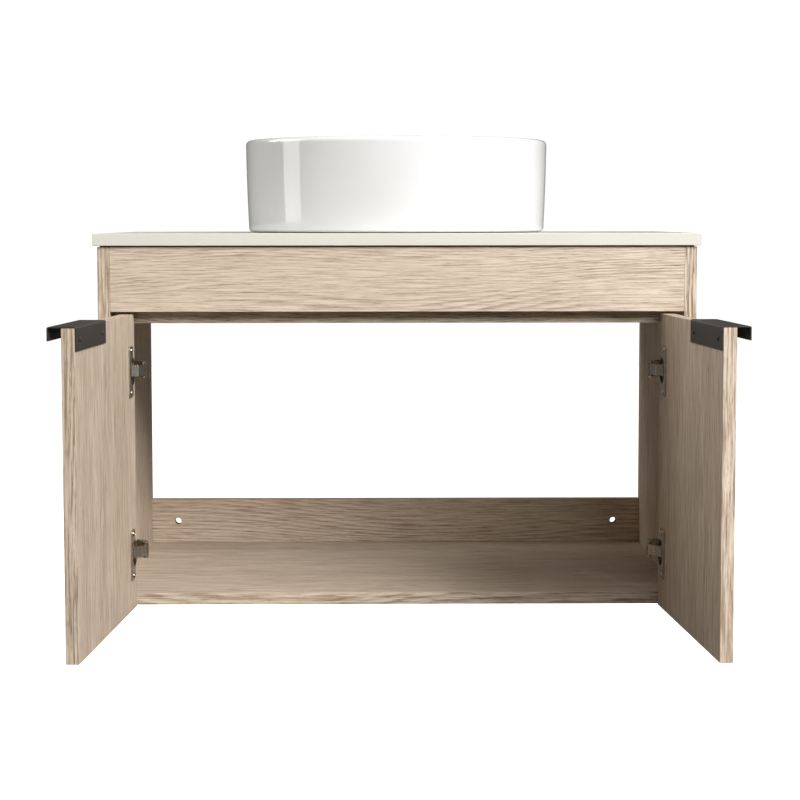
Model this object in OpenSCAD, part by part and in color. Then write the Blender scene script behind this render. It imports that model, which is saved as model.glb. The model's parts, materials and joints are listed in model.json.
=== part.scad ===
// Wall-hung bathroom vanity with two inset doors and a round vessel basin. Millimetres.
// X runs left to right, +Z up, the front faces -Y and the wall is the plane Y = 0.
// The origin is the middle of the four wall-screw holes, on the wall plane.
// The doors are drawn standing open, and each swings about one vertical axis.

/* [Cabinet] */
// Outer width over the side panels
cab_w = 740; // [700:10:800]
// Depth from the wall to the front edges of the side panels
cab_d = 455; // [430:5:480]
// Height of the side panels
cab_h = 450; // [430:5:480]
// Board thickness of panels, rails and doors
board = 15; // [15:1:16]
// How far the bottom panel and the stretcher stand back from the front
setback = 22; // [21:1:26]
// Height of the fixed front rail above the doors
front_rail_h = 80; // [70:5:90]
// Depth of the flat stretcher under the front rail
stretcher_d = 70; // [60:5:90]
// Height of the upper back rail
upper_rail_h = 80; // [70:5:90]
// Height of the lower back rail
lower_rail_h = 63; // [60:1:80]

/* [Countertop] */
// Width of the countertop
top_w = 750; // [740:10:820]
// Depth of the countertop
top_d = 460; // [440:5:490]
// Thickness of the countertop
top_t = 15; // [12:1:20]
// Thickness of the sealing strip between cabinet and countertop
strip_t = 1.5; // [1:0.5:3]

/* [Basin] */
// Outer diameter at the rim
basin_d = 400; // [360:5:420]
// Outer diameter at the foot
foot_d = 393; // [340:1:410]
// Height of the ceramic body
basin_h = 120; // [105:1:140]
// Wall thickness at the rim
rim_t = 12; // [10:1:14]
// Ceramic thickness round the drain hole
floor_t = 10; // [9:1:12]
// Thickness of the sealing ring under the basin
basin_seal_t = 1; // [1:0.5:2]

/* [Doors] */
// How far the doors stand open
open_angle = 93.6; // [90:0.1:95]
// Gap between a door and its side panel
side_gap = 2; // [2:0.5:3]
// Gap between the two closed doors
centre_gap = 3; // [3:0.5:5]
// Gap between the doors and the front rail
head_gap = 3; // [2.5:0.5:4]
// Hinge axis, measured from the inner face of the side panel
axis_in = 14.5; // [14:0.5:15]
// Hinge axis, measured back from the front plane
axis_back = 2.5; // [2:0.5:3]

/* [Handles] */
// Length of the folded pull
pull_len = 165; // [120:5:200]
// Sheet thickness of the pull
pull_t = 1.5; // [1.2:0.1:1.6]
// How far the pull stands out from the door
pull_out = 15.7; // [14:0.1:20]
// Height of the front lip of the pull
pull_lip = 15.5; // [14:0.5:20]
// Height of the flap screwed to the back of the door
pull_flap = 25; // [20:1:30]

/* [Hinges] */
// Height of the lower hinges above the door's bottom edge
hinge_low = 70; // [60:5:90]
// Distance of the upper hinges below the door's top edge
hinge_drop = 70; // [60:5:90]
// Cup depth
cup_deep = 12; // [11.5:0.1:12]
// Wood left between the cup and the door's edge
cup_edge = 3; // [3:0.5:4]
// Cup flange height, end to end
flange_h = 63; // [60:1:66]
// Distance between the two cup screws
cup_screws = 52; // [45:1:52]

/* [Drain] */
// Diameter of the thread on the drain tail
tail_d = 41.9; // [41.9:0.1:42]
// Length of the drain tail below its flange
tail_len = 100; // [80:5:105]
// Diameter of the drain flange
flange_d = 63; // [60:1:66]
// How far the stopper lifts
stopper_lift = 8; // [6:1:9]

/* [Wall fixing] */
// Distance between the wall-screw holes across the width
wall_span_x = 634; // [500:2:640]
// Diameter of the wall-screw holes
wall_hole_d = 9; // [7:0.5:10]

/* [Hidden] */
$fn = 64;
eps = 0.5;

// Heights, counted from the underside of the cabinet
lower_hole_z = 46;
upper_hole_z = cab_h - upper_rail_h / 2;
base_z = -(lower_hole_z + upper_hole_z) / 2;
inner_half = cab_w / 2 - board;
rail_z = cab_h - front_rail_h;
stretcher_z = rail_z - board;
counter_z = cab_h + strip_t;
basin_z = counter_z + top_t + basin_seal_t;
basin_y = -top_d / 2;

// Doors, in door coordinates: u from the side panel inwards, v back from the front plane
door_w = inner_half - side_gap - centre_gap / 2;
door_h = rail_z - head_gap;
door_end = side_gap + door_w;
hinge_z = [hinge_low, door_h - hinge_drop];

// Hinge arm, lever and plate
arm_pin = [38, 21];
lever_reach = 11;
lever_knee = [33, 4];
lever_w = 13.4;
lever_half = 2;
arm_w = 20;
arm_sheet = 1.4;
pin_r = 1.1;
pin_play = 0.05;
plate_v = 37 + board;
plate_pitch = 32;
clamp_v = [64, 86];
clamp_u = 3;
clamp_r = 2;
wing_t = 2;
web_u = 15;
cup_d = 35;
cup_u = side_gap + cup_edge + cup_d / 2;
cup_wall = 1;
cup_floor = 0.8;
ring_t = 1.2;
ring_r = cup_d / 2 + 1.5;
flange_w = 21;
flange_t = 2.2;
flange_u = 10;
flange_round = 4;

// Dowels and screws
dowel_r = 4;
dowel_len = 30;
dowel_side = 10;
floor_dowel_v = [60, 227, 400];
tall_in = 18;
low_in = 14;
pilot_r = 1.5;
pilot_deep = 11;

// Drain, measured from the underside of the basin
seat_z = floor_t;
gasket_t = 1;
lip_t = 2.5;
tail_bore_r = 18.5;
stem_r = 3;
hub_z = -26;
hub_h = 6;
hub_r = 7;
under_z = -(basin_seal_t + top_t);
washer_t = 5;
washer_r = 36;
nut_h = 10;
nut_r = 34;
cap_gap = 0.3;
cap_seal_t = 1.2;
cap_t = 4;

// Colours
oak = [0.82, 0.75, 0.66];
ivory = [0.94, 0.93, 0.88];
glaze = [0.96, 0.96, 0.95];
black = [0.12, 0.11, 0.10];
nickel = [0.72, 0.71, 0.69];
chrome = [0.80, 0.81, 0.82];
rubber = [0.15, 0.15, 0.15];
beech = [0.80, 0.66, 0.46];

// ---- Placing -----------------------------------------------------------------------------

// Children are drawn in u (from the side panel's inner face), v (back from the front plane)
// and z (from the cabinet's underside), for the left side or mirrored for the right side.
module on_side(right) {
    mirror([right ? 1 : 0, 0, 0]) translate([-inner_half, -cab_d, base_z]) children();
}

// Turns a closed door's pieces about the hinge axis to where they stand open
module swung_open() {
    translate([axis_in, axis_back, 0]) rotate([0, 0, -open_angle])
        translate([-axis_in, -axis_back, 0]) children();
}

// A cylinder along +u (X) or +v (Y)
module along_u(r, h) { rotate([0, 90, 0]) cylinder(r = r, h = h); }
module along_v(r, h) { rotate([-90, 0, 0]) cylinder(r = r, h = h); }

function turn(p, a) = [p[0] * cos(a) - p[1] * sin(a), p[0] * sin(a) + p[1] * cos(a)];
function arc(c, r, a0, a1, n) =
    [for (i = [0:n]) let (a = a0 + (a1 - a0) * i / n) c + r * [cos(a), sin(a)]];

// ---- Cabinet -----------------------------------------------------------------------------

// Dowel places on a side panel, as [v, z], one list for all the boards between the sides
back_v = cab_d - board / 2;
dowel_places = concat(
    [for (v = floor_dowel_v) [v, board / 2]],
    [for (z = [rail_z + tall_in, cab_h - tall_in]) [board / 2, z]],
    [for (v = [setback + low_in, setback + stretcher_d - low_in]) [v, stretcher_z + board / 2]],
    [for (z = [cab_h - upper_rail_h + tall_in, cab_h - tall_in]) [back_v, z]],
    [for (z = [board + low_in, board + lower_rail_h - low_in]) [back_v, z]]
);

// Every dowel of one side, lengthened at both ends by extra
module dowels(extra) {
    for (p = dowel_places)
        translate([-dowel_side - extra, p[0], p[1]]) along_u(dowel_r, dowel_len + 2 * extra);
}

module side_panel(right) {
    color(oak) on_side(right) difference() {
        translate([-board, 0, 0]) cube([board, cab_d, cab_h]);
        dowels(eps);
        for (z = hinge_z, s = [-1, 1])
            translate([-pilot_deep, plate_v, z + s * plate_pitch / 2])
                along_u(pilot_r, pilot_deep + eps);
    }
}
module left_side_panel() { side_panel(false); }
module right_side_panel() { side_panel(true); }

// A board between the two side panels, from depth v0 and height z0, with its dowel holes
module cross_board(v0, z0, depth, height) {
    color(oak) difference() {
        translate([-inner_half, -cab_d + v0, base_z + z0]) cube([2 * inner_half, depth, height]);
        for (right = [false, true]) on_side(right) dowels(eps);
        children();
    }
}

// The two wall-screw holes through a back rail at height z
module wall_holes(z) {
    for (s = [-1, 1])
        translate([s * wall_span_x / 2, -board - eps, base_z + z])
            along_v(wall_hole_d / 2, board + 2 * eps);
}

module bottom_panel() { cross_board(setback, 0, cab_d - setback, board); }
module front_rail() { cross_board(0, rail_z, board, front_rail_h); }
module front_stretcher() { cross_board(setback, stretcher_z, stretcher_d, board); }
module upper_back_rail() {
    cross_board(cab_d - board, cab_h - upper_rail_h, board, upper_rail_h)
        wall_holes(upper_hole_z);
}
module lower_back_rail() {
    cross_board(cab_d - board, board, board, lower_rail_h) wall_holes(lower_hole_z);
}
module wood_dowels() {
    color(beech) for (right = [false, true]) on_side(right) dowels(0);
}

// ---- Countertop --------------------------------------------------------------------------

// Sealing strip along the top edges of the cabinet, a little back from the outside
module counter_seal() {
    inset = 3;
    width = 8;
    outer = [cab_w - 2 * inset, cab_d - inset, strip_t];
    color(rubber) translate([-cab_w / 2 + inset, -cab_d + inset, base_z + cab_h]) difference() {
        cube(outer);
        translate([width, width, -eps])
            cube([outer[0] - 2 * width, outer[1] - 2 * width, strip_t + 2 * eps]);
    }
}

module countertop() {
    hole_r = 25;
    color(ivory) difference() {
        translate([-top_w / 2, -top_d, base_z + counter_z]) cube([top_w, top_d, top_t]);
        translate([0, basin_y, base_z + counter_z - eps]) cylinder(r = hole_r, h = top_t + 2 * eps);
    }
}

// ---- Basin -------------------------------------------------------------------------------

// Children are drawn about the basin's axis, with z counted from its underside
module at_basin() { translate([0, basin_y, base_z + basin_z]) children(); }

// Half section of the bowl: foot, outer wall, rolled rim, inner wall, bowl and drain seat
module basin_section() {
    rim_r = basin_d / 2;
    foot_r = foot_d / 2;
    foot_round = 4;
    rim_round = rim_t / 2;
    belly = 0.5;
    inner_r = rim_r - rim_t;
    wall_lean = 4;
    bowl_round = 60;
    bowl_z = 24;
    hole_r = 23;
    seat_r = flange_d / 2 + 1;
    relief = [70, 165];
    relief_z = 4;
    outer_wall = [for (i = [1:7]) let (t = i / 8)
        [foot_r + (rim_r - foot_r) * t + belly * sin(180 * t),
         foot_round + (basin_h - foot_round - rim_round) * t]];
    bowl_c = [inner_r - wall_lean - bowl_round, bowl_z + bowl_round];
    polygon(concat(
        [[hole_r, 0], [relief[0], 0], [relief[0] + relief_z, relief_z],
         [relief[1] - relief_z, relief_z], [relief[1], 0]],
        arc([foot_r - foot_round, foot_round], foot_round, -90, 0, 6),
        outer_wall,
        arc([rim_r - rim_round, basin_h - rim_round], rim_round, 0, 180, 16),
        arc(bowl_c, bowl_round, 0, -84, 16),
        [[seat_r + 6, seat_z + gasket_t + lip_t + 1],
         [seat_r + 2, seat_z + gasket_t + lip_t - 0.6],
         [seat_r, seat_z + gasket_t + lip_t - 1.5], [seat_r, seat_z], [hole_r, seat_z]]
    ));
}

module basin() {
    color(glaze) at_basin() rotate_extrude($fn = 160) basin_section();
}

module ring(r_in, r_out, z, h) {
    translate([0, 0, z]) difference() {
        cylinder(r = r_out, h = h);
        translate([0, 0, -eps]) cylinder(r = r_in, h = h + 2 * eps);
    }
}

module basin_seal() {
    color(rubber) at_basin() ring(172, foot_d / 2 - 7, -basin_seal_t, basin_seal_t);
}

// ---- Drain -------------------------------------------------------------------------------

module drain_gasket() {
    color(rubber) at_basin() ring(tail_d / 2 + 0.5, flange_d / 2 - 1, seat_z, gasket_t);
}

// Flange, threaded tail and the four-armed guide that carries the stopper's stem
module drain_body() {
    lip_z = seat_z + gasket_t;
    low_z = lip_z + lip_t - tail_len;
    arm_w = 4;
    reach = tail_bore_r + 1;
    color(chrome) at_basin() difference() {
        union() {
            rotate_extrude() polygon([
                [tail_bore_r, low_z], [tail_d / 2, low_z], [tail_d / 2, lip_z],
                [flange_d / 2, lip_z], [flange_d / 2, lip_z + lip_t - 1],
                [flange_d / 2 - 1, lip_z + lip_t], [tail_bore_r + 1, lip_z + lip_t],
                [tail_bore_r, lip_z + lip_t - 1]
            ]);
            translate([0, 0, hub_z]) cylinder(r = hub_r, h = hub_h);
            for (a = [0, 90]) rotate([0, 0, a])
                translate([-reach, -arm_w / 2, hub_z]) cube([2 * reach, arm_w, hub_h]);
        }
        translate([0, 0, hub_z - eps]) cylinder(r = stem_r + pin_play, h = hub_h + 2 * eps);
    }
}

module drain_under_washer() {
    color(rubber) at_basin() ring(tail_d / 2, washer_r, under_z - washer_t, washer_t);
}

module drain_nut() {
    color(chrome) at_basin() translate([0, 0, under_z - washer_t - nut_h]) difference() {
        cylinder(r = nut_r, h = nut_h, $fn = 6);
        translate([0, 0, -eps]) cylinder(r = tail_d / 2, h = nut_h + 2 * eps);
    }
}

// Stopper, drawn closed: a low domed cap on a stem that slides in the guide
module drain_stopper() {
    cap_z = seat_z + gasket_t + lip_t + cap_gap + cap_seal_t;
    cap_r = flange_d / 2 - 1;
    edge = 1.2;
    stem_low = hub_z - stopper_lift - 8;
    color(chrome) at_basin() rotate_extrude($fn = 96) polygon(concat(
        [[0, stem_low], [stem_r, stem_low], [stem_r, cap_z - 6], [6, cap_z - 4], [8, cap_z]],
        arc([cap_r - edge, cap_z + edge], edge, -90, 90, 8),
        [[cap_r * 0.6, cap_z + cap_t - 0.8], [cap_r * 0.3, cap_z + cap_t - 0.2],
         [0, cap_z + cap_t]]
    ));
}

module stopper_seal() {
    cap_z = seat_z + gasket_t + lip_t + cap_gap;
    color(rubber) at_basin() ring(21, 27, cap_z, cap_seal_t);
}

// Nut that keeps the stem from leaving the guide
module stopper_nut() {
    nut_z = hub_z - stopper_lift - 0.5 - 4;
    color(nickel) at_basin() translate([0, 0, nut_z]) difference() {
        cylinder(r = 6, h = 4, $fn = 6);
        translate([0, 0, -eps]) cylinder(r = stem_r, h = 4 + 2 * eps);
    }
}

// ---- Doors and handles -------------------------------------------------------------------

// Height of the handle screws, half way down the flap
pull_screw_z = door_h - pull_flap / 2;
pull_screw_in = 20;
pull_screw_u = [door_end - pull_len + pull_screw_in, door_end - pull_screw_in];

module door(right) {
    color(oak) on_side(right) swung_open() difference() {
        translate([side_gap, 0, 0]) cube([door_w, board, door_h]);
        for (z = hinge_z) {
            translate([cup_u, board - cup_deep, z]) along_v(cup_d / 2, cup_deep + eps);
            for (s = [-1, 1])
                translate([cup_u + flange_u, board - pilot_deep, z + s * cup_screws / 2])
                    along_v(pilot_r, pilot_deep + eps);
        }
        for (u = pull_screw_u)
            translate([u, board - pilot_deep, pull_screw_z]) along_v(pilot_r, pilot_deep + eps);
    }
}
module left_door() { door(false); }
module right_door() { door(true); }

// Folded sheet pull: flap behind the door, plate over its top edge, lip in front
module handle(right) {
    profile = [
        [board, door_h - pull_flap], [board + pull_t, door_h - pull_flap],
        [board + pull_t, door_h + pull_t], [-pull_out, door_h + pull_t],
        [-pull_out, door_h + pull_t - pull_lip], [-pull_out + pull_t, door_h + pull_t - pull_lip],
        [-pull_out + pull_t, door_h], [board, door_h]
    ];
    color(black) on_side(right) swung_open() difference() {
        translate([door_end - pull_len, 0, 0]) rotate([90, 0, 90])
            linear_extrude(pull_len) polygon(profile);
        for (u = pull_screw_u)
            translate([u, board - eps, pull_screw_z]) along_v(pilot_r, pull_t + 2 * eps);
    }
}
module left_handle() { handle(false); }
module right_handle() { handle(true); }

// A screw along v: shank from v0, then a head that stands on v1
module screw_v(v0, v1, head_r, head_h) {
    translate([0, v0, 0]) along_v(pilot_r, v1 - v0);
    translate([0, v1, 0]) along_v(head_r, head_h);
}

module handle_screws(right) {
    color(black) on_side(right) swung_open() for (u = pull_screw_u)
        translate([u, 0, pull_screw_z]) screw_v(board - pilot_deep, board + pull_t, 3, 1.6);
}
module left_handle_screws() { handle_screws(false); }
module right_handle_screws() { handle_screws(true); }

// ---- Hinges ------------------------------------------------------------------------------

// Pressed cup with its ring, let into the door's back, and the tall flange, off to the free
// side of the cup, that its two screws go through
module hinge_cup(right, z) {
    flat_w = flange_w - 2 * flange_round;
    flat_h = flange_h - 2 * flange_round;
    color(nickel) on_side(right) swung_open() translate([cup_u, board, z]) difference() {
        union() {
            translate([0, -cup_deep, 0]) along_v(cup_d / 2, cup_deep);
            along_v(ring_r, ring_t);
            translate([flange_u, 0, 0]) {
                translate([-flange_w / 2, 0, -flat_h / 2]) cube([flange_w, flange_t, flat_h]);
                translate([-flat_w / 2, 0, -flange_h / 2]) cube([flat_w, flange_t, flange_h]);
                for (r = [-1, 1], s = [-1, 1]) translate([r * flat_w / 2, 0, s * flat_h / 2])
                    along_v(flange_round, flange_t);
            }
        }
        translate([0, cup_floor - cup_deep, 0])
            along_v(cup_d / 2 - cup_wall, cup_deep + flange_t + eps);
        for (s = [-1, 1]) translate([flange_u, -eps, s * cup_screws / 2])
            along_v(pilot_r, flange_t + 2 * eps);
    }
}
module left_upper_hinge_cup() { hinge_cup(false, hinge_z[1]); }
module left_lower_hinge_cup() { hinge_cup(false, hinge_z[0]); }
module right_upper_hinge_cup() { hinge_cup(true, hinge_z[1]); }
module right_lower_hinge_cup() { hinge_cup(true, hinge_z[0]); }

module hinge_cup_screws(right) {
    color(nickel) on_side(right) swung_open() for (z = hinge_z, s = [-1, 1])
        translate([cup_u + flange_u, 0, z + s * cup_screws / 2])
            screw_v(board - pilot_deep, board + flange_t, 3.6, 1.8);
}
module left_cup_screws() { hinge_cup_screws(false); }
module right_cup_screws() { hinge_cup_screws(true); }

// Outline of the cranked arm, seen from above, with a round nose about its pin
arm_nose_r = 3;
arm_outline = concat(
    arc(arm_pin, arm_nose_r, 165, 360, 14),
    [[41, 30], [34, 41], [18, 50], [web_u, 56], [web_u, 96],
     [7, 96], [7, 56], [24, 41], [33, 31]]
);

module arm_block(width) {
    translate([0, 0, -width / 2]) linear_extrude(width) polygon(arm_outline);
}

// Sheet arm: two cheeks and a web on the side away from the panel, open round the lever
module hinge_arm(right, z) {
    web_v = 27;
    color(nickel) on_side(right) translate([0, 0, z]) difference() {
        arm_block(arm_w);
        translate([-arm_sheet, -arm_sheet, 0]) arm_block(arm_w - 2 * arm_sheet);
        translate([0, 0, -(arm_w - 2 * arm_sheet) / 2])
            cube([60, web_v, arm_w - 2 * arm_sheet]);
        translate([arm_pin[0], arm_pin[1], -arm_w]) cylinder(r = pin_r, h = 2 * arm_w);
        for (v = clamp_v) translate([clamp_u, v, 0]) along_u(clamp_r, web_u);
    }
}
module left_upper_hinge_arm() { hinge_arm(false, hinge_z[1]); }
module left_lower_hinge_arm() { hinge_arm(false, hinge_z[0]); }
module right_upper_hinge_arm() { hinge_arm(true, hinge_z[1]); }
module right_lower_hinge_arm() { hinge_arm(true, hinge_z[0]); }

// Mounting plate: two wings screwed to the panel and a block that the arm is clamped to
module hinge_plate(right, z) {
    wing_h = 50;
    wing_d = 16;
    block = [9, 48, 16];
    color(nickel) on_side(right) translate([0, plate_v, z]) difference() {
        union() {
            translate([0, -wing_d / 2, -wing_h / 2]) cube([wing_t, wing_d, wing_h]);
            translate([0, -12, -block[2] / 2]) cube(block);
        }
        for (s = [-1, 1]) translate([-eps, 0, s * plate_pitch / 2])
            along_u(pilot_r, wing_t + 2 * eps);
        for (v = clamp_v) translate([clamp_u, v - plate_v, 0]) along_u(clamp_r, block[0]);
    }
}
module left_upper_hinge_plate() { hinge_plate(false, hinge_z[1]); }
module left_lower_hinge_plate() { hinge_plate(false, hinge_z[0]); }
module right_upper_hinge_plate() { hinge_plate(true, hinge_z[1]); }
module right_lower_hinge_plate() { hinge_plate(true, hinge_z[0]); }

module hinge_plate_screws() {
    color(nickel) for (right = [false, true]) on_side(right) for (z = hinge_z, s = [-1, 1])
        translate([0, plate_v, z + s * plate_pitch / 2]) {
            translate([-pilot_deep, 0, 0]) along_u(pilot_r, pilot_deep + wing_t);
            translate([wing_t, 0, 0]) along_u(3.5, 1.8);
        }
}

module hinge_clamp_screws() {
    color(nickel) for (right = [false, true]) on_side(right) for (z = hinge_z, v = clamp_v)
        translate([0, v, z]) {
            translate([clamp_u, 0, 0]) along_u(clamp_r, web_u - clamp_u);
            translate([web_u, 0, 0]) along_u(3.5, 2);
        }
}

// Fixed pins in the noses of the arms
module hinge_arm_pins() {
    color(nickel) for (right = [false, true]) on_side(right) for (z = hinge_z)
        translate([arm_pin[0], arm_pin[1], z - arm_w / 2]) cylinder(r = pin_r, h = arm_w);
}

// Where the lever's free pin lies with the door open: it is as far from the arm's pin here
// as with the door closed, because both places lie evenly about the line through the axis.
axis_pt = [axis_in, axis_back];
to_pin = arm_pin - axis_pt;
lever_pin = axis_pt + lever_reach * turn(to_pin / norm(to_pin), -open_angle / 2);

// A bar with round ends from p to q, in plan
module bar(p, q, half) {
    d = q - p;
    translate(p) circle(r = half, $fn = 32);
    translate(q) circle(r = half, $fn = 32);
    translate(p) rotate(atan2(d[1], d[0])) translate([0, -half]) square([norm(d), 2 * half]);
}

module lever_plan(half) {
    bar(lever_pin, lever_knee, half);
    bar(lever_knee, arm_pin, half);
}

// Cranked channel that joins the arm's nose to the cup: cheeks above and below, web in front
module hinge_lever(right, z) {
    cheek = 1.2;
    hollow = lever_w - 2 * cheek;
    web_shift = [-1.2, 1.2];
    color(nickel) on_side(right) translate([0, 0, z]) difference() {
        translate([0, 0, -lever_w / 2]) linear_extrude(lever_w) lever_plan(lever_half);
        translate([0, 0, -hollow / 2]) linear_extrude(hollow) difference() {
            translate(web_shift) lever_plan(lever_half);
            translate(arm_pin) circle(r = lever_half + eps);
            translate(lever_pin) circle(r = lever_half + eps);
        }
        translate([arm_pin[0], arm_pin[1], -lever_w])
            cylinder(r = pin_r + pin_play, h = 2 * lever_w);
        translate([lever_pin[0], lever_pin[1], -lever_w]) cylinder(r = pin_r, h = 2 * lever_w);
    }
}
module left_upper_hinge_lever() { hinge_lever(false, hinge_z[1]); }
module left_lower_hinge_lever() { hinge_lever(false, hinge_z[0]); }
module right_upper_hinge_lever() { hinge_lever(true, hinge_z[1]); }
module right_lower_hinge_lever() { hinge_lever(true, hinge_z[0]); }

// Pins at the levers' free ends, inside the cups
module lever_pins(right) {
    color(nickel) on_side(right) for (z = hinge_z)
        translate([lever_pin[0], lever_pin[1], z - lever_w / 2 - 1])
            cylinder(r = pin_r, h = lever_w + 2);
}
module left_lever_pins() { lever_pins(false); }
module right_lever_pins() { lever_pins(true); }

// ---- Nodes -------------------------------------------------------------------------------

left_side_panel();
right_side_panel();
bottom_panel();
front_rail();
front_stretcher();
upper_back_rail();
lower_back_rail();
wood_dowels();
counter_seal();
countertop();
basin();
basin_seal();
drain_gasket();
drain_body();
drain_under_washer();
drain_nut();
drain_stopper();
stopper_seal();
stopper_nut();
left_door();
right_door();
left_handle();
right_handle();
left_handle_screws();
right_handle_screws();
left_upper_hinge_cup();
left_lower_hinge_cup();
right_upper_hinge_cup();
right_lower_hinge_cup();
left_cup_screws();
right_cup_screws();
left_upper_hinge_arm();
left_lower_hinge_arm();
right_upper_hinge_arm();
right_lower_hinge_arm();
left_upper_hinge_plate();
left_lower_hinge_plate();
right_upper_hinge_plate();
right_lower_hinge_plate();
hinge_plate_screws();
hinge_clamp_screws();
hinge_arm_pins();
left_upper_hinge_lever();
left_lower_hinge_lever();
right_upper_hinge_lever();
right_lower_hinge_lever();
left_lever_pins();
right_lever_pins();
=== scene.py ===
"""A wall-hung vanity with two doors standing open, a slab top and a round vessel basin.

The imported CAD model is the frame. Each CAD node keeps its mesh and gets a procedural material,
or a finished mesh piece stands for it in the same place. Lengths are metres.
"""

import json
import math

import bmesh
import bpy
from mathutils import Matrix, Vector


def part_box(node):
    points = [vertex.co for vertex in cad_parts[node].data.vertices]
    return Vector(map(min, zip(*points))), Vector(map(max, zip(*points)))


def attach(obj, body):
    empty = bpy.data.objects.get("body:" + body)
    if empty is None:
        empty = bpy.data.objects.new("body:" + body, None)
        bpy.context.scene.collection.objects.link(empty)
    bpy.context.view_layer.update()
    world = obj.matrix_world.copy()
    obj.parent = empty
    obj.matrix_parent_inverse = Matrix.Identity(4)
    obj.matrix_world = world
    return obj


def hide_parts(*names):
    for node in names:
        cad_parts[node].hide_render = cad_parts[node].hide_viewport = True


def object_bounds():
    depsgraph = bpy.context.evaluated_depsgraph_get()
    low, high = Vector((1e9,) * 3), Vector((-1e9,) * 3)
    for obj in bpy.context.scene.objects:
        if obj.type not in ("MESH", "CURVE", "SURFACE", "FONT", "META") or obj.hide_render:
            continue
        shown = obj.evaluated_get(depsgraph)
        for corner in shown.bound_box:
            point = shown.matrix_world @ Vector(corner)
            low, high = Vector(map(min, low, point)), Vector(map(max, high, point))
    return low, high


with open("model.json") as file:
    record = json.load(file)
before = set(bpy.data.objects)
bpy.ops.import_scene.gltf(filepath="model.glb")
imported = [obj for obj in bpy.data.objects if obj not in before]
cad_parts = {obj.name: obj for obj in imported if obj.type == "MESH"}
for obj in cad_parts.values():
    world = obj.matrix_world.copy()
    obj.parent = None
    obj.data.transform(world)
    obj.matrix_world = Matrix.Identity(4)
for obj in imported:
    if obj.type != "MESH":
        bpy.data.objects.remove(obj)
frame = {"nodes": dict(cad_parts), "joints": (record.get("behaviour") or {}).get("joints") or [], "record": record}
cad_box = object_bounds()

MM = 0.001
SIDES = ("left", "right")
LEVELS = ("upper", "lower")
SHARP = math.radians(40)  # edges that turn by more than this stay sharp
CUT_OVER = 1 * MM  # how far a cutter runs past the surface that it opens

CUP_R = 17.5 * MM
CUP_WALL = 1 * MM
RING_R = 19 * MM
RING_T = 1.2 * MM
FLANGE_HALF = 10.5 * MM
FLANGE_ROUND = 4 * MM
BEND = 2 * MM  # outside radius of the pulls' folds
PULL_LIP = 15.5 * MM
TOP_HOLE_R = 25 * MM
RIM_T = 12 * MM
FLOOR_T = 10 * MM
TAIL_R = 20.95 * MM
TAIL_BORE_R = 18.5 * MM
THREAD_PITCH = 2.309 * MM
THREAD_DEPTH = 0.9 * MM
HUB_R = 7 * MM
HANG = 0.36  # from the floor up to the lowest point of the object
BACKDROP = 1.05  # a little past white, so that floor and background show as plain white

# ---- Places, all from the frame -----------------------------------------------------------

joints = {j["name"]: j for j in frame["joints"]}
side_low, side_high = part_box("left_side_panel")
inner_half = -side_high.x
front_y = side_low.y
base_z = side_low.z
open_angle = -math.radians(joints["left_door_hinge"]["range_deg"][0])


def side_space(side):
    """Maps u (in from the side panel), v (back from the front plane) and z (up from the
    cabinet's underside) to the frame."""
    s = -1 if side == "right" else 1
    return Matrix(((s, 0, 0, -s * inner_half), (0, 1, 0, front_y), (0, 0, 1, base_z), (0, 0, 0, 1)))


def door_space(side):
    """The same for what swings with a door, which is then described as if it were closed."""
    axis = joints["left_door_hinge"]["pos_m"]
    pivot = Vector((axis[0] + inner_half, axis[1] - front_y, 0))
    swing = Matrix.Translation(pivot) @ Matrix.Rotation(-open_angle, 4, "Z")
    return side_space(side) @ swing @ Matrix.Translation(-pivot)


def box_in(space, node):
    """Lowest and highest corner of a CAD node in a space of its own."""
    back = space.inverted()
    points = [back @ v.co for v in frame["nodes"][node].data.vertices]
    return [Vector([pick(p[i] for p in points) for i in range(3)]) for pick in (min, max)]


def solids_in(space, node):
    """The box of each separate solid of a CAD node, in a space of its own."""
    bm = bmesh.new()
    bm.from_mesh(frame["nodes"][node].data)
    bm.transform(space.inverted())
    bmesh.ops.remove_doubles(bm, verts=bm.verts, dist=0.001 * MM)
    boxes, seen = [], set()
    for first in bm.verts:
        if first in seen:
            continue
        group, front = {first}, [first]
        while front:
            for edge in front.pop().link_edges:
                for v in edge.verts:
                    if v not in group:
                        group.add(v)
                        front.append(v)
        seen |= group
        boxes.append([Vector([pick(v.co[i] for v in group) for i in range(3)]) for pick in (min, max)])
    bm.free()
    return boxes


def body_of(node):
    """The name of the body that a CAD node rides on."""
    bodies = frame["record"]["behaviour"]["bodies"]
    return next(body for body, nodes in bodies.items() if node in nodes)


def aimed(place, along, across):
    """A space at place whose z runs along one direction and whose x runs across it."""
    z = Vector(along).normalized()
    x = Vector(across).normalized()
    turn = Matrix((x, z.cross(x), z)).transposed().to_4x4()
    return Matrix.Translation(place) @ turn


# ---- Mesh tools ---------------------------------------------------------------------------


def merge(bm, part, space=None):
    """Adds a part to bm, in a space of its own, and frees it."""
    if space is not None:
        part.transform(space)
        if space.determinant() < 0:
            bmesh.ops.reverse_faces(part, faces=part.faces)
    mesh = bpy.data.meshes.new("part")
    part.to_mesh(mesh)
    part.free()
    bm.from_mesh(mesh)
    bpy.data.meshes.remove(mesh)


def arc(centre, radius, start, end, steps):
    """Points of an arc, its ends among them. Angles are degrees."""
    angles = [math.radians(start + (end - start) * i / steps) for i in range(steps + 1)]
    return [(centre[0] + radius * math.cos(a), centre[1] + radius * math.sin(a)) for a in angles]


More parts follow.
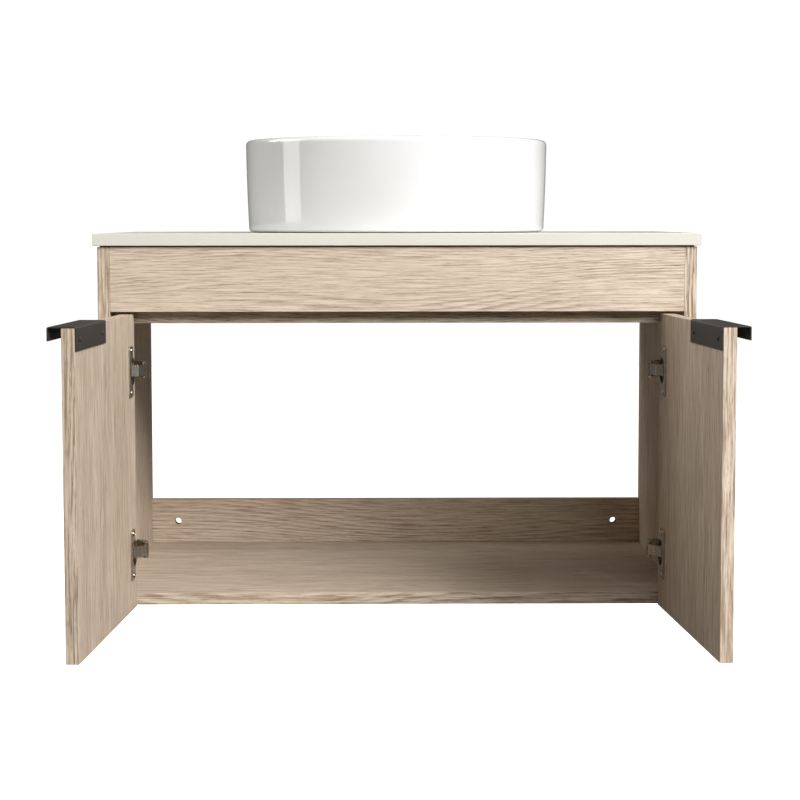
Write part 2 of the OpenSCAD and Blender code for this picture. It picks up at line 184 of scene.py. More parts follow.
def board(low, high, ease=0.6 * MM, segments=2):
    """A panel between two corners, with eased edges. Its narrow faces have material 1."""
    bm = bmesh.new()
    bmesh.ops.create_cube(bm, size=1)
    size = high - low
    bm.transform(Matrix.Translation((low + high) / 2) @ Matrix.Diagonal((*size, 1)))
    bmesh.ops.bevel(bm, geom=bm.edges[:], offset=ease, segments=segments, affect="EDGES", profile=0.5)
    thin = min(range(3), key=lambda i: size[i])
    for face in bm.faces:
        face.material_index = 0 if abs(face.normal[thin]) > 0.9 else 1
    return bm


def plate(outline, holes, low, high, ease):
    """A flat part with holes, between two heights, with eased edges."""
    curve = bpy.data.curves.new("plate", "CURVE")
    curve.dimensions = "2D"
    curve.fill_mode = "BOTH"
    curve.extrude = ((high - low) / 2 - ease) / MM
    curve.bevel_depth = ease / MM
    curve.offset = -ease / MM
    curve.bevel_resolution = 2
    for ring in (outline, *holes):
        spline = curve.splines.new("POLY")
        spline.points.add(len(ring) - 1)
        for point, place in zip(spline.points, ring):
            point.co = (place[0] / MM, place[1] / MM, 0, 1)
        spline.use_cyclic_u = True
    obj = bpy.data.objects.new("plate", curve)
    mesh = bpy.data.meshes.new_from_object(obj)
    bm = bmesh.new()
    bm.from_mesh(mesh)
    bpy.data.objects.remove(obj)
    bpy.data.curves.remove(curve)
    bpy.data.meshes.remove(mesh)
    bmesh.ops.remove_doubles(bm, verts=bm.verts, dist=0.0005)
    bmesh.ops.recalc_face_normals(bm, faces=bm.faces)
    bm.transform(Matrix.Translation((0, 0, (low + high) / 2)) @ Matrix.Scale(MM, 4))
    return bm


def turned(profile, steps, thread=None):
    """A closed profile of (radius, height) turned about z. thread is (radius, low, high, pitch,
    depth): points at that radius and between those heights follow a helical thread."""
    bm = bmesh.new()
    rings = []
    for radius, height in profile:
        if radius < 1e-6:
            rings.append([bm.verts.new((0, 0, height))] * steps)
            continue
        ring = []
        for i in range(steps):
            a = 2 * math.pi * i / steps
            r = radius
            if thread and abs(radius - thread[0]) < 1e-6 and thread[1] < height < thread[2]:
                phase = (height / thread[3] - i / steps) % 1
                r -= thread[4] * abs(2 * phase - 1)
            ring.append(bm.verts.new((r * math.cos(a), r * math.sin(a), height)))
        rings.append(ring)
    count = len(rings)
    for j in range(count):
        low, high = rings[j], rings[(j + 1) % count]
        if low[0] is low[1] and high[0] is high[1]:
            continue
        for i in range(steps):
            corners = []
            for v in (low[i], low[(i + 1) % steps], high[(i + 1) % steps], high[i]):
                if v not in corners:
                    corners.append(v)
            bm.faces.new(corners)
    bmesh.ops.recalc_face_normals(bm, faces=bm.faces)
    return bm


def carve(bm, cutter, operation="DIFFERENCE"):
    """Cuts one closed mesh out of another, or unites the two."""
    made = []
    for source in (bm, cutter):
        mesh = bpy.data.meshes.new("carving")
        source.to_mesh(mesh)
        source.free()
        made.append(bpy.data.objects.new("carving", mesh))
        bpy.context.scene.collection.objects.link(made[-1])
    cut = made[0].modifiers.new("cut", "BOOLEAN")
    cut.object = made[1]
    cut.operation = operation
    cut.solver = "EXACT"
    result = bmesh.new()
    result.from_object(made[0], bpy.context.evaluated_depsgraph_get())
    for obj in made:
        mesh = obj.data
        bpy.data.objects.remove(obj)
        bpy.data.meshes.remove(mesh)
    return result


def bore(bm, space, radius, depth):
    """Drills a round hole down -z of space. Its wall and floor get material 2."""
    peg = turned([(0, -depth), (radius, -depth), (radius, CUT_OVER), (0, CUT_OVER)], 48)
    peg.transform(space)
    result = carve(bm, peg)
    back = space.inverted()
    for face in result.faces:
        place = back @ face.calc_center_median()
        inside = math.hypot(place.x, place.y) < radius + 1e-5
        if inside and -depth - 1e-5 < place.z < -1e-5:
            face.material_index = 2
    return result


def piece(name, bm, space, looks, nodes, weighted=True):
    """Makes a shown piece out of bm, in place of CAD nodes and on their body."""
    bm.transform(space)
    if space.determinant() < 0:
        bmesh.ops.reverse_faces(bm, faces=bm.faces)
    for face in bm.faces:
        face.material_index = min(face.material_index, len(looks) - 1)
    mesh = bpy.data.meshes.new(name)
    bm.to_mesh(mesh)
    bm.free()
    mesh.shade_smooth()
    mesh.set_sharp_from_angle(angle=SHARP)
    for look in looks:
        mesh.materials.append(look)
    obj = bpy.data.objects.new(name, mesh)
    bpy.context.scene.collection.objects.link(obj)
    if weighted:
        normals = obj.modifiers.new("normals", "WEIGHTED_NORMAL")
        normals.keep_sharp = True
    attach(obj, body_of(nodes[0]))
    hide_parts(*nodes)


def keep(node, look, ease=0):
    """Keeps a CAD node's own mesh, with a material and with eased edges."""
    obj = frame["nodes"][node]
    obj.data.materials.clear()
    obj.data.materials.append(look)
    if ease:
        weld = obj.modifiers.new("weld", "WELD")
        weld.merge_threshold = 0.005 * MM
        flat = obj.modifiers.new("flat", "DECIMATE")
        flat.decimate_type = "DISSOLVE"
        flat.angle_limit = math.radians(1)
        bevel = obj.modifiers.new("ease", "BEVEL")
        bevel.width = ease
        bevel.segments = 2
        bevel.limit_method = "ANGLE"
        bevel.angle_limit = SHARP
        bevel.harden_normals = True
        normals = obj.modifiers.new("normals", "WEIGHTED_NORMAL")
        normals.keep_sharp = True


# ---- Materials ----------------------------------------------------------------------------


def srgb(r, g, b):
    """A colour from 0-255 display values."""
    def linear(c):
        c /= 255
        return c / 12.92 if c <= 0.04045 else ((c + 0.055) / 1.055) ** 2.4
    return (linear(r), linear(g), linear(b), 1)


class Look:
    """A node material with a Principled shader, written node by node."""

    def __init__(self, name):
        self.material = bpy.data.materials.new(name)
        self.material.use_nodes = True
        self.tree = self.material.node_tree
        self.shader = self.tree.nodes["Principled BSDF"]
        self.place = self.add("TexCoord", {}, out="Object")

    def add(self, kind, inputs, out=0, **settings):
        made = self.tree.nodes.new("ShaderNode" + kind)
        for key, value in settings.items():
            setattr(made, key, value)
        for key, value in inputs.items():
            if isinstance(value, bpy.types.NodeSocket):
                self.tree.links.new(value, made.inputs[key])
            else:
                made.inputs[key].default_value = value
        return made.outputs[out]

    def math(self, operation, a, b=0.0, c=0.0):
        return self.add("Math", {0: a, 1: b, 2: c}, operation=operation)

    def at(self, scale, shift):
        return self.add("Mapping", {"Vector": self.place, "Scale": scale, "Location": shift})

    def noise(self, scale, detail=2.0, rough=0.5, shift=(0, 0, 0), warp=0.0):
        """Noise from 0 to 1, with a scale in cycles a metre along each axis."""
        inputs = {"Vector": self.at(scale, shift), "Scale": 1.0, "Detail": detail,
                  "Roughness": rough, "Distortion": warp}
        return self.add("TexNoise", inputs)

    def spread(self, value, low, high, to_low=0.0, to_high=1.0):
        """Maps low..high to to_low..to_high, with a soft shoulder at both ends."""
        inputs = {0: value, 1: low, 2: high, 3: to_low, 4: to_high}
        return self.add("MapRange", inputs, interpolation_type="SMOOTHSTEP")

    def mix(self, share, a, b):
        return self.add("Mix", {0: share, 6: a, 7: b}, out=2, data_type="RGBA")

    def bump(self, height, distance, strength=1.0):
        inputs = {"Height": height, "Distance": distance, "Strength": strength}
        self.wire("Normal", self.add("Bump", inputs))

    def wire(self, socket, value):
        if isinstance(value, bpy.types.NodeSocket):
            self.tree.links.new(value, self.shader.inputs[socket])
        else:
            self.shader.inputs[socket].default_value = value


def along_grain(grain, small, big):
    """A scale that is small along the grain axis and big across it."""
    return tuple(small if axis == grain else big for axis in "XYZ")


def oak(name, grain, seed, figure, wave):
    """Light oak laminate: growth rings that drift across the board, fibres and short dark
    pores, all along the grain. figure is how strongly they show, wave how far the rings wander."""
    look = Look(name)
    shift = (seed * 1.7, seed * 2.3, seed * 3.1)
    swell = look.noise(along_grain(grain, 1.3, 6), 1.0, 0.35, shift)
    across = look.add("VectorMath", {0: look.place, 1: along_grain(grain, 0, 200)},
                      out="Value", operation="DOT_PRODUCT")
    phase = look.math("MULTIPLY_ADD", swell, wave, across)
    ripple = look.noise(along_grain(grain, 6, 140), 2.0, 0.5, shift)
    phase = look.math("MULTIPLY_ADD", ripple, 0.9, phase)
    ring = look.math("FRACT", phase)
    ring = look.math("MULTIPLY", look.spread(ring, 0.2, 0.88), look.spread(ring, 0.88, 1.0, 1.0, 0.0))
    patchy = look.spread(look.noise(along_grain(grain, 3, 24), 2.0, 0.5, shift[::-1]), 0.36, 0.64)
    ring = look.math("MULTIPLY", ring, look.math("MULTIPLY_ADD", patchy, 0.75, 0.25))
    fibre = look.spread(look.noise(along_grain(grain, 18, 580), 3.0, 0.65, shift), 0.41, 0.64)
    pore = look.spread(look.noise(along_grain(grain, 70, 1300), 2.0, 0.5, shift), 0.56, 0.68)
    broad = look.spread(look.noise(along_grain(grain, 1.4, 9), 2.0, 0.5, shift[::-1]), 0.3, 0.7)

    dark = look.math("MULTIPLY_ADD", ring, 0.34 * figure, look.math("MULTIPLY", fibre, 0.44 * figure))
    dark = look.math("MULTIPLY_ADD", pore, 0.28 * figure, dark)
    colour = look.mix(dark, srgb(213, 198, 180), srgb(126, 103, 80))
    look.wire("Base Color", look.mix(look.math("MULTIPLY", broad, 0.3), colour, srgb(184, 163, 139)))
    look.wire("Roughness", look.math("MULTIPLY_ADD", fibre, 0.12, 0.46))
    relief = look.math("SUBTRACT", look.math("MULTIPLY", fibre, -0.4), pore)
    look.bump(relief, 0.06 * MM, 0.6)
    look.wire("Specular IOR Level", 0.35)
    return look.material


def chipboard(name):
    """Raw board, where a drill has opened it."""
    look = Look(name)
    chip = look.noise((420, 420, 420), 3.0, 0.6)
    colour = look.mix(look.spread(chip, 0.35, 0.65), srgb(150, 116, 78), srgb(92, 66, 40))
    look.wire("Base Color", colour)
    look.wire("Roughness", look.math("MULTIPLY_ADD", chip, 0.1, 0.8))
    look.bump(chip, 0.4 * MM)
    return look.material


def stone(name):
    """Honed ivory slab with fine grain, faint clouds and a few specks."""
    look = Look(name)
    cloud = look.spread(look.noise((9, 9, 9), 4.0, 0.55, warp=0.4), 0.3, 0.7)
    speck = look.spread(look.noise((900, 900, 900), 1.0, 0.5), 0.66, 0.74)
    colour = look.mix(look.math("MULTIPLY", cloud, 0.5), srgb(209, 207, 198), srgb(203, 199, 187))
    colour = look.mix(look.math("MULTIPLY", speck, 0.35), colour, srgb(184, 178, 163))
    look.wire("Base Color", colour)
    look.wire("Roughness", look.math("MULTIPLY_ADD", cloud, 0.1, 0.32))
    look.bump(look.noise((1400, 1400, 1400), 2.0), 0.02 * MM, 0.5)
    return look.material


def ceramic(name, foot_z):
    """White glaze with a faint orange peel, and a matt unglazed ring at the foot."""
    look = Look(name)
    height = look.add("SeparateXYZ", {0: look.place}, out="Z")
    grain = look.noise((700, 700, 700), 2.0)
    bare = look.spread(height, foot_z + 0.5 * MM, foot_z + 1.1 * MM, 1.0, 0.0)
    shade = look.spread(look.noise((14, 14, 14), 3.0), 0.3, 0.7)
    glaze = look.mix(shade, srgb(221, 221, 221), srgb(217, 217, 216))
    biscuit = look.mix(grain, srgb(222, 214, 200), srgb(200, 190, 174))
    look.wire("Base Color", look.mix(bare, glaze, biscuit))
    smear = look.spread(look.noise((30, 30, 8), 3.0, 0.6), 0.35, 0.75, 0.045, 0.085)
    look.wire("Roughness", look.math("MAXIMUM", smear, look.math("MULTIPLY", bare, 0.7)))
    peel = look.noise((55, 55, 55), 2.0)
    look.bump(peel, 0.03 * MM, 0.5)
    look.wire("Coat Weight", 0.4)
    look.wire("Coat Roughness", 0.03)
    return look.material


def powder_coat(name):
    """Black powder coat: fine pebbled texture and a little dust."""
    look = Look(name)
    pebble = look.noise((1500, 1500, 1500), 2.0, 0.55)
    dust = look.spread(look.noise((180, 180, 180), 4.0, 0.7), 0.5, 0.8)
    colour = look.mix(pebble, srgb(34, 32, 30), srgb(58, 55, 51))
    look.wire("Base Color", look.mix(look.math("MULTIPLY", dust, 0.15), colour, srgb(96, 92, 86)))
    look.wire("Roughness", look.math("MULTIPLY_ADD", dust, 0.14, 0.5))
    look.bump(pebble, 0.09 * MM, 0.7)
    look.wire("Specular IOR Level", 0.35)
    return look.material


def metal(name, colour, shade, rough, streak):
    """Plated steel or brass: streaks of polish, a few smudges and tiny scratches."""
    look = Look(name)
    polish = look.noise(streak, 3.0, 0.6)
    smudge = look.spread(look.noise((60, 60, 60), 3.0, 0.6), 0.4, 0.75)
    look.wire("Metallic", 1.0)
    look.wire("Base Color", look.mix(look.math("MULTIPLY", smudge, 0.6), colour, shade))
    gloss = look.math("MULTIPLY_ADD", smudge, 0.12, rough)
    look.wire("Roughness", look.math("MULTIPLY_ADD", polish, 0.08, gloss))
    look.bump(polish, 0.01 * MM, 0.4)
    return look.material


def rubber(name, colour, shade, rough):
    """Moulded rubber or silicone: a fine matt skin with a dusty bloom."""
    look = Look(name)
    skin = look.noise((1100, 1100, 1100), 2.0)
    bloom = look.spread(look.noise((70, 70, 70), 4.0, 0.65), 0.42, 0.72)
    look.wire("Base Color", look.mix(look.math("MULTIPLY", bloom, 0.7), colour, shade))
    look.wire("Roughness", look.math("MULTIPLY_ADD", bloom, 0.12, rough))
    look.bump(skin, 0.05 * MM, 0.5)
    return look.material


def beech(name):
    """Dowels: pale beech with short rays."""
    look = Look(name)
    ray = look.spread(look.noise((120, 900, 900), 2.0, 0.6), 0.52, 0.7)
    look.wire("Base Color", look.mix(ray, srgb(222, 190, 146), srgb(184, 142, 96)))
    look.wire("Roughness", look.math("MULTIPLY_ADD", ray, 0.1, 0.6))
    look.bump(ray, 0.1 * MM)
    return look.material


raw_board = chipboard("chipboard")
ivory_stone = stone("ivory_stone")
basin_low, basin_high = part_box("basin")
white_glaze = ceramic("white_glaze", basin_low.z)
black_coat = powder_coat("black_powder_coat")
nickel = metal("nickel", srgb(196, 189, 178), srgb(160, 153, 142), 0.2, (900, 900, 60))
chrome = metal("chrome", srgb(232, 233, 234), srgb(205, 207, 209), 0.05, (60, 60, 700))
black_rubber = rubber("black_rubber", srgb(38, 38, 38), srgb(70, 69, 67), 0.72)
# Real silicone strips whose dark taupe copies the shadowed joint line under the counter: painted shade in the
# sealant's colour.
sealant = rubber("sealant", srgb(112, 101, 86), srgb(134, 123, 107), 0.55)
dowel_wood = beech("beech")

# ---- Cabinet boards -----------------------------------------------------------------------

IDENTITY = Matrix.Identity(4)
BOARDS = {"left_side_panel": "Z", "right_side_panel": "Z", "bottom_panel": "X", "front_rail": "X",
          "front_stretcher": "X", "upper_back_rail": "X", "lower_back_rail": "X"}


def oak_pair(node, grain, seed):
    """The face and the edge band of one board. Lying grain wanders more than standing grain."""
    figure, wave = (1.35, 12) if grain == "Z" else (1.1, 48)
    return [oak(f"oak_{node}", grain, seed, figure, wave),
            oak(f"oak_{node}_edge", grain, seed + 0.37, 1.3 * figure, wave)]


wall_screws = next(m for m in frame["record"]["mounts"] if m["name"] == "wall_screws")["dims"]
WALL_X = wall_screws["spacing_x_mm"] * MM / 2
WALL_Z = wall_screws["spacing_y_mm"] * MM / 2


def wall_holes(bm, node):
    """Drills the wall-screw holes that lie within a back rail."""
    low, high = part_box(node)
    for z in (-WALL_Z, WALL_Z):
        if low.z < z < high.z:
            for x in (-WALL_X, WALL_X):
                down = aimed((x, low.y, z), (0, -1, 0), (1, 0, 0))
                bm = bore(bm, down, wall_screws["hole_r_mm"] * MM, high.y - low.y + CUT_OVER)
    return bm


for seed, (node, grain) in enumerate(BOARDS.items()):
    panel = board(*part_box(node))
    if node.endswith("back_rail"):
        panel = wall_holes(panel, node)
    looks = oak_pair(node, grain, seed) + [raw_board]
    piece(f"{node}_board", panel, IDENTITY, looks, [node])

keep("wood_dowels", dowel_wood)
keep("counter_seal", sealant)

# ---- Doors --------------------------------------------------------------------------------

for seed, side in enumerate(SIDES):
    space = door_space(side)
    leaf = board(*box_in(space, f"{side}_door"))
    for level in LEVELS:
        low, high = box_in(space, f"{side}_{level}_hinge_cup")
        back_v = box_in(space, f"{side}_door")[1].y
        down = aimed((low.x + RING_R, back_v, (low.z + high.z) / 2), (0, 1, 0), (1, 0, 0))
        leaf = bore(leaf, down, CUP_R, back_v - low.y)
    looks = oak_pair(f"{side}_door", "Z", seed + 11) + [raw_board]
    piece(f"{side}_door_leaf", leaf, space, looks, [f"{side}_door"])

# ---- Folded pulls -------------------------------------------------------------------------


def folded_pull(low, high, board_back, sheet):
    """Flap behind the door, plate over its top edge and lip in front, folded from one sheet.
    Drawn in (v, z) and extruded along u."""
    top = high.z
    inner = BEND - sheet
    outline = [(board_back, low.z), (high.y, low.z)]
    outline += arc((high.y - BEND, top - BEND), BEND, 0, 90, 8)
    outline += arc((low.y + BEND, top - BEND), BEND, 90, 180, 8)
    lip_z = top - PULL_LIP
    outline += [(low.y, lip_z), (low.y + sheet, lip_z)]
    outline += arc((low.y + BEND, top - BEND), inner, 180, 90, 4)
    outline += arc((high.y - BEND, top - BEND), inner, 90, 0, 4)
    return plate(outline, [], low.x, high.x, 0.25 * MM)


TO_U = Matrix(((0, 0, 1, 0), (1, 0, 0, 0), (0, 1, 0, 0), (0, 0, 0, 1)))

for side in SIDES:
    space = door_space(side)
    low, high = box_in(space, f"{side}_handle")
    board_back = box_in(space, f"{side}_door")[1].y
    pull = folded_pull(low, high, board_back, high.y - board_back)
    piece(f"{side}_pull", pull, space @ TO_U, [black_coat], [f"{side}_handle"])

# ---- Screws -------------------------------------------------------------------------------


def cross_screw(shank_r, shank_len, head_r, head_h):
    """A pan-head screw on z: its head stands on z = 0 and has a tapered cross recess."""
    edge = 0.3 * MM
    dome = [(head_r * math.cos(math.radians(a)), edge + (head_h - edge) * math.sin(math.radians(a)))
            for a in range(0, 90, 12)]
    profile = [(0, -shank_len), (shank_r * 0.5, -shank_len + 0.6 * MM), (shank_r, -shank_len + 2 * MM),
               (shank_r, 0), (head_r - 0.1 * MM, 0), *dome, (0, head_h)]
    bm = turned(profile, 32)
    arm, half, depth = head_r * 0.62, head_r * 0.13, head_h * 0.75
    for turn in (0, 90):
        slot = bmesh.new()
        bmesh.ops.create_cube(slot, size=2)
        slot.transform(Matrix.Rotation(math.radians(turn), 4, "Z")
                       @ Matrix.Translation((0, 0, head_h)) @ Matrix.Diagonal((arm, half, depth, 1)))
        for v in slot.verts:  # the recess narrows towards its bottom
            if v.co.z < head_h:
                v.co.x *= 0.45
                v.co.y *= 0.45 if turn else 0.8
        bm = carve(bm, slot)
    return bm


def cross_screws(node, space, along, head_r, head_h, shank_r, look):
    """Stands a cross-head screw in place of every solid of a screw node. along gives the
    direction that a screw at some place points in. Each is left at a turn of its own."""
    bm = bmesh.new()
    for count, (low, high) in enumerate(solids_in(space, node)):
        centre = (low + high) / 2
        way = Vector(along(centre))
        length = abs((high - low).dot(way))
        seat = centre + way * (length / 2 - head_h)
        turned_by = Matrix.Rotation(0.6 + 1.3 * count, 4, "Z")
        screw = cross_screw(shank_r, length - head_h, head_r, head_h)
        merge(bm, screw, aimed(seat, way, way.orthogonal()) @ turned_by)
    piece(f"{node}_set", bm, space, [look], [node])


for side in SIDES:
    space = door_space(side)
    cross_screws(f"{side}_handle_screws", space, lambda place: (0, 1, 0),
                 3 * MM, 1.6 * MM, 1.5 * MM, black_coat)
    cross_screws(f"{side}_cup_screws", space, lambda place: (0, 1, 0),
                 3.6 * MM, 1.8 * MM, 1.5 * MM, nickel)


def inwards(place):
    """From the nearer side panel towards the middle of the cabinet."""
    return (-math.copysign(1, place.x), 0, 0)


cross_screws("hinge_plate_screws", IDENTITY, inwards, 3.5 * MM, 1.8 * MM, 1.5 * MM, nickel)
cross_screws("hinge_clamp_screws", IDENTITY, inwards, 3.5 * MM, 2 * MM, 2 * MM, nickel)

# ---- Hinges -------------------------------------------------------------------------------


def hinge_cup(deep, flange_t, flange_h, flange_x):
    """Pressed cup with a flat ring, and the tall screw flange that runs past it on one side,
    about z, which points out of the door."""
    inner = CUP_R - CUP_WALL
    out_round, in_round = 1.5 * MM, 0.8 * MM
    floor = -deep + 0.8 * MM
    profile = [(0, -deep), *arc((CUP_R - out_round, -deep + out_round), out_round, -90, 0, 5),
               (CUP_R, 0), (RING_R, 0), (RING_R, RING_T * 0.6), (RING_R - 0.5 * MM, RING_T),
               (inner + 0.4 * MM, RING_T), (inner, RING_T * 0.6),
               *arc((inner - in_round, floor + in_round), in_round, 0, -90, 4), (0, floor)]
    half, end = FLANGE_HALF - FLANGE_ROUND, flange_h / 2 - FLANGE_ROUND
    outline = []
    for quarter, (x, y) in enumerate(((half, end), (-half, end), (-half, -end), (half, -end))):
        outline += arc((flange_x + x, y), FLANGE_ROUND, 90 * quarter, 90 * quarter + 90, 8)
    flange = plate(outline, [], 0, flange_t, 0.5 * MM)
    mouth_r, mouth_z = inner + 0.3 * MM, 2 * flange_t
    mouth = turned([(0, -CUT_OVER), (mouth_r, -CUT_OVER), (mouth_r, mouth_z), (0, mouth_z)], 72)
    return carve(turned(profile, 72), carve(flange, mouth), "UNION")


for side in SIDES:
    space = door_space(side)
    back_v = box_in(space, f"{side}_door")[1].y
    for level in LEVELS:
        node = f"{side}_{level}_hinge"
        low, high = box_in(space, f"{node}_cup")
        flange_x = high.x - FLANGE_HALF - low.x - RING_R
        cup = hinge_cup(back_v - low.y, high.y - back_v, high.z - low.z, flange_x)
        cup.transform(aimed((low.x + RING_R, back_v, (low.z + high.z) / 2), (0, 1, 0), (1, 0, 0)))
        piece(f"{node}_pressed_cup", cup, space, [nickel], [f"{node}_cup"])
        for part in ("lever", "arm", "plate"):
            keep(f"{node}_{part}", nickel, ease=0.3 * MM)

for node in ("hinge_arm_pins", "left_lever_pins", "right_lever_pins"):
    keep(node, nickel)

# ---- Countertop ---------------------------------------------------------------------------

axis_x, axis_y = (basin_low.x + basin_high.x) / 2, (basin_low.y + basin_high.y) / 2
top_low, top_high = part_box("countertop")
slab = board(top_low, top_high, 0.8 * MM, 3)
over_hole = Matrix.Translation((axis_x, axis_y, top_high.z))
slab = bore(slab, over_hole, TOP_HOLE_R, top_high.z - top_low.z + CUT_OVER)
piece("countertop_slab", slab, IDENTITY, [ivory_stone], ["countertop"])

# ---- Basin --------------------------------------------------------------------------------

at_basin = Matrix.Translation((axis_x, axis_y, basin_low.z))


def basin_profile(rim_r, height, seat_r):
    """Foot, nearly upright outer wall, rolled rim, inner wall, deep bowl and drain seat."""
    foot_r, foot_round = rim_r - 3.5 * MM, 4 * MM
    rim_round = RIM_T / 2
    belly = 0.5 * MM
    bowl_r = 60 * MM
    bowl_centre = (rim_r - RIM_T - 4 * MM - bowl_r, 84 * MM)
    relief, ledge, hole_r = (70 * MM, 165 * MM), 4 * MM, 23 * MM
    sink = FLOOR_T + 3.5 * MM
    wall = []
    for i in range(1, 24):
        t = i / 24
        wall.append((foot_r + (rim_r - foot_r) * t + belly * math.sin(math.pi * t),
                     foot_round + (height - foot_round - rim_round) * t))
    return [(hole_r, 0), (relief[0], 0), (relief[0] + ledge, ledge), (relief[1] - ledge, ledge),
            (relief[1], 0), *arc((foot_r - foot_round, foot_round), foot_round, -90, 0, 10), *wall,
            *arc((rim_r - rim_round, height - rim_round), rim_round, 0, 180, 32),
            *arc(bowl_centre, bowl_r, 0, -84, 40),
            (seat_r + 6 * MM, sink + 1 * MM), (seat_r + 2 * MM, sink - 0.6 * MM),
            (seat_r, sink - 1.5 * MM), (seat_r, FLOOR_T), (hole_r, FLOOR_T)]


flange_low, flange_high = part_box("drain_body")
flange_r = (flange_high.x - flange_low.x) / 2
bowl = turned(basin_profile((basin_high.x - basin_low.x) / 2, basin_high.z - basin_low.z,
                            flange_r + 1 * MM), 256)
piece("glazed_basin", bowl, at_basin, [white_glaze], ["basin"], weighted=False)
keep("basin_seal", sealant)

# ---- Drain --------------------------------------------------------------------------------

at_drain = Matrix.Translation((axis_x, axis_y, 0))


def hexagon(radius):
    """The outline of a hexagon, by the distance to its corners."""
    return arc((0, 0), radius, 0, 300, 5)


def drain_body(low, high, under):
    """Flange, tail with a helical thread below the top, and the guide for the stem."""
    lip = 2.5 * MM
    lip_round = 1 * MM
    rows = round((under - low) / THREAD_PITCH * 6)
    tail = [(TAIL_R, low + (under - low) * i / rows) for i in range(1, rows)]
    profile = [(TAIL_BORE_R, low), (TAIL_R - THREAD_DEPTH, low), *tail, (TAIL_R, high - lip),
               (flange_r, high - lip),
               *arc((flange_r - lip_round, high - lip_round), lip_round, 0, 90, 5),
               (TAIL_BORE_R + lip_round, high), (TAIL_BORE_R, high - lip_round)]
    bm = turned(profile, 96, (TAIL_R, low + 1 * MM, under, THREAD_PITCH, THREAD_DEPTH))
    hub_z, hub_h, stem_r = basin_low.z - 26 * MM, 6 * MM, 3.05 * MM
    hub_top = hub_z + hub_h
    merge(bm, turned([(stem_r, hub_z), (HUB_R, hub_z), (HUB_R, hub_top), (stem_r, hub_top)], 48))
    for turn in range(4):
        arm = board(Vector((HUB_R - 1 * MM, -2 * MM, hub_z)),
                    Vector((TAIL_BORE_R + 0.5 * MM, 2 * MM, hub_top)), 0.5 * MM)
        merge(bm, arm, Matrix.Rotation(turn * math.pi / 2, 4, "Z"))
    return bm


nut_low, nut_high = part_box("drain_nut")
body = drain_body(flange_low.z, flange_high.z, top_low.z)
piece("drain_tail", body, at_drain, [chrome], ["drain_body"])

nut_hole = arc((0, 0), TAIL_R - 0.2 * MM, 0, 354, 59)
nut = plate(hexagon((nut_high.x - nut_low.x) / 2), [nut_hole], nut_low.z, nut_high.z, 0.9 * MM)
piece("drain_hex_nut", nut, at_drain, [chrome], ["drain_nut"])

washer_low, washer_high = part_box("drain_under_washer")
washer_r = (washer_high.x - washer_low.x) / 2
washer = turned([(TAIL_R, washer_low.z), (washer_r - 2 * MM, washer_low.z),
                 *arc((washer_r - 1 * MM, washer_low.z + 2 * MM), 1 * MM, -60, 0, 4),
                 *arc((washer_r - 1 * MM, washer_high.z - 1 * MM), 1 * MM, 0, 90, 4),
                 (TAIL_R, washer_high.z)], 96)
piece("drain_rubber_washer", washer, at_drain, [black_rubber], ["drain_under_washer"])


def stopper(low, high, cap_r):
    """Low domed cap with a rolled edge, on a stem."""
    cap_t, edge, stem_r = 4 * MM, 1.2 * MM, 3 * MM
    cap_z = high - cap_t
    crown = cap_t - 2 * edge
    dome = []
    for i in range(1, 12):
        t = i / 12
        dome.append(((cap_r - edge) * (1 - t), cap_z + 2 * edge + crown * math.sin(t * math.pi / 2)))
    profile = [(0, low), (stem_r - 0.5 * MM, low), (stem_r, low + 0.5 * MM), (stem_r, cap_z - 6 * MM),
               (6 * MM, cap_z - 4 * MM), (8 * MM, cap_z),
               *arc((cap_r - edge, cap_z + edge), edge, -90, 90, 10), *dome, (0, high)]
    return turned(profile, 128)


cap_low, cap_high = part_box("drain_stopper")
cap = stopper(cap_low.z, cap_high.z, (cap_high.x - cap_low.x) / 2)
piece("stopper_cap", cap, at_drain, [chrome], ["drain_stopper"], weighted=False)
lock_low, lock_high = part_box("stopper_nut")
lock = plate(hexagon((lock_high.x - lock_low.x) / 2), [arc((0, 0), 3 * MM, 0, 348, 29)],
             lock_low.z, lock_high.z, 0.4 * MM)
piece("stopper_hex_nut", lock, at_drain, [nickel], ["stopper_nut"])
for node in ("drain_gasket", "stopper_seal"):
    keep(node, black_rubber)

# ---- Studio -------------------------------------------------------------------------------

scene = bpy.context.scene
scene.view_settings.view_transform = "Standard"
middle = (cad_box[0] + cad_box[1]) / 2


def softbox(name, place, width, height, power):
    """An area light aimed at the middle of the object."""
    data = bpy.data.lights.new(name, "AREA")
    data.shape = "RECTANGLE"
    data.size = width
    data.size_y = height
    data.energy = power
    light = bpy.data.objects.new(name, data)
    light.location = place
    light.rotation_euler = (middle - Vector(place)).to_track_quat("-Z", "Y").to_euler()
    scene.collection.objects.link(light)


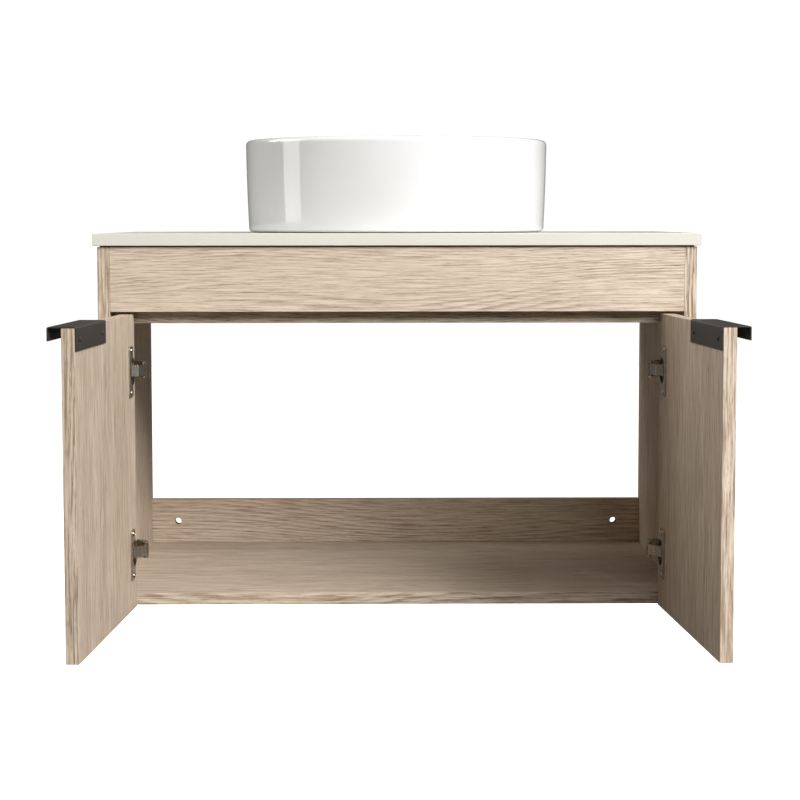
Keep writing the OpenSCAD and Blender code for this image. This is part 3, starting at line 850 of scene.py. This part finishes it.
def studio_world(fill):
    """White where the camera looks past the object, and a weaker even light on the object."""
    world = bpy.data.worlds.new("studio")
    world.use_nodes = True
    tree = world.node_tree
    tree.nodes.clear()
    path = tree.nodes.new("ShaderNodeLightPath")
    out = tree.nodes.new("ShaderNodeOutputWorld")
    blend = tree.nodes.new("ShaderNodeMixShader")
    for index, strength, colour in ((1, fill, (1, 0.94, 0.86, 1)), (2, BACKDROP, (1, 1, 1, 1))):
        sky = tree.nodes.new("ShaderNodeBackground")
        sky.inputs["Color"].default_value = colour
        sky.inputs["Strength"].default_value = strength
        tree.links.new(sky.outputs[0], blend.inputs[index])
    tree.links.new(path.outputs["Is Camera Ray"], blend.inputs[0])
    tree.links.new(blend.outputs[0], out.inputs["Surface"])
    scene.world = world


def floor(height, reach):
    """Pale floor, well below the object, which hangs on a wall. It adds no light of its own."""
    bm = bmesh.new()
    bmesh.ops.create_grid(bm, x_segments=8, y_segments=8, size=reach)
    mesh = bpy.data.meshes.new("floor")
    bm.to_mesh(mesh)
    bm.free()
    look = Look("floor_white")
    cloud = look.noise((3, 3, 3), 3.0)
    look.wire("Base Color", look.mix(cloud, (0.86, 0.86, 0.86, 1), (0.9, 0.9, 0.9, 1)))
    look.wire("Roughness", 0.9)
    look.wire("Emission Color", (1, 1, 1, 1))
    look.wire("Emission Strength", BACKDROP)
    mesh.materials.append(look.material)
    obj = bpy.data.objects.new("floor", mesh)
    obj.location = (0, 0, height)
    obj.visible_diffuse = False
    obj.visible_glossy = False
    scene.collection.objects.link(obj)


studio_world(0.137)
floor(cad_box[0].z - HANG, 9)
softbox("key_wide", (1.9, -4.52, 2.74), 3.3, 2.4, 128)
softbox("key", (3.15, -3.85, 2.74), 1.8, 2.4, 352)
softbox("left_strip", (-3.0, -0.55, 0.75), 0.9, 2.0, 16)
softbox("left_high", (-2.6, 0.3, 1.8), 1.4, 1.4, 40)
softbox("top", (0.2, -0.8, 3.0), 2.2, 2.2, 19)

# The camera stands where the photograph was taken from. Angles are degrees.
CAMERA_PLACE = (-0.01693, -3.04016, 0.25443)
HEADING, PITCH, ROLL = -0.442, -4.909, -0.058

camera_data = bpy.data.cameras.new("camera")
camera_data.sensor_width = 36
camera_data.lens = 94.12
camera = bpy.data.objects.new("camera", camera_data)
camera.matrix_world = (Matrix.Translation(CAMERA_PLACE)
                       @ Matrix.Rotation(math.radians(HEADING), 4, "Z")
                       @ Matrix.Rotation(math.radians(90 + PITCH), 4, "X")
                       @ Matrix.Rotation(math.radians(ROLL), 4, "Z"))
scene.collection.objects.link(camera)
scene.camera = camera
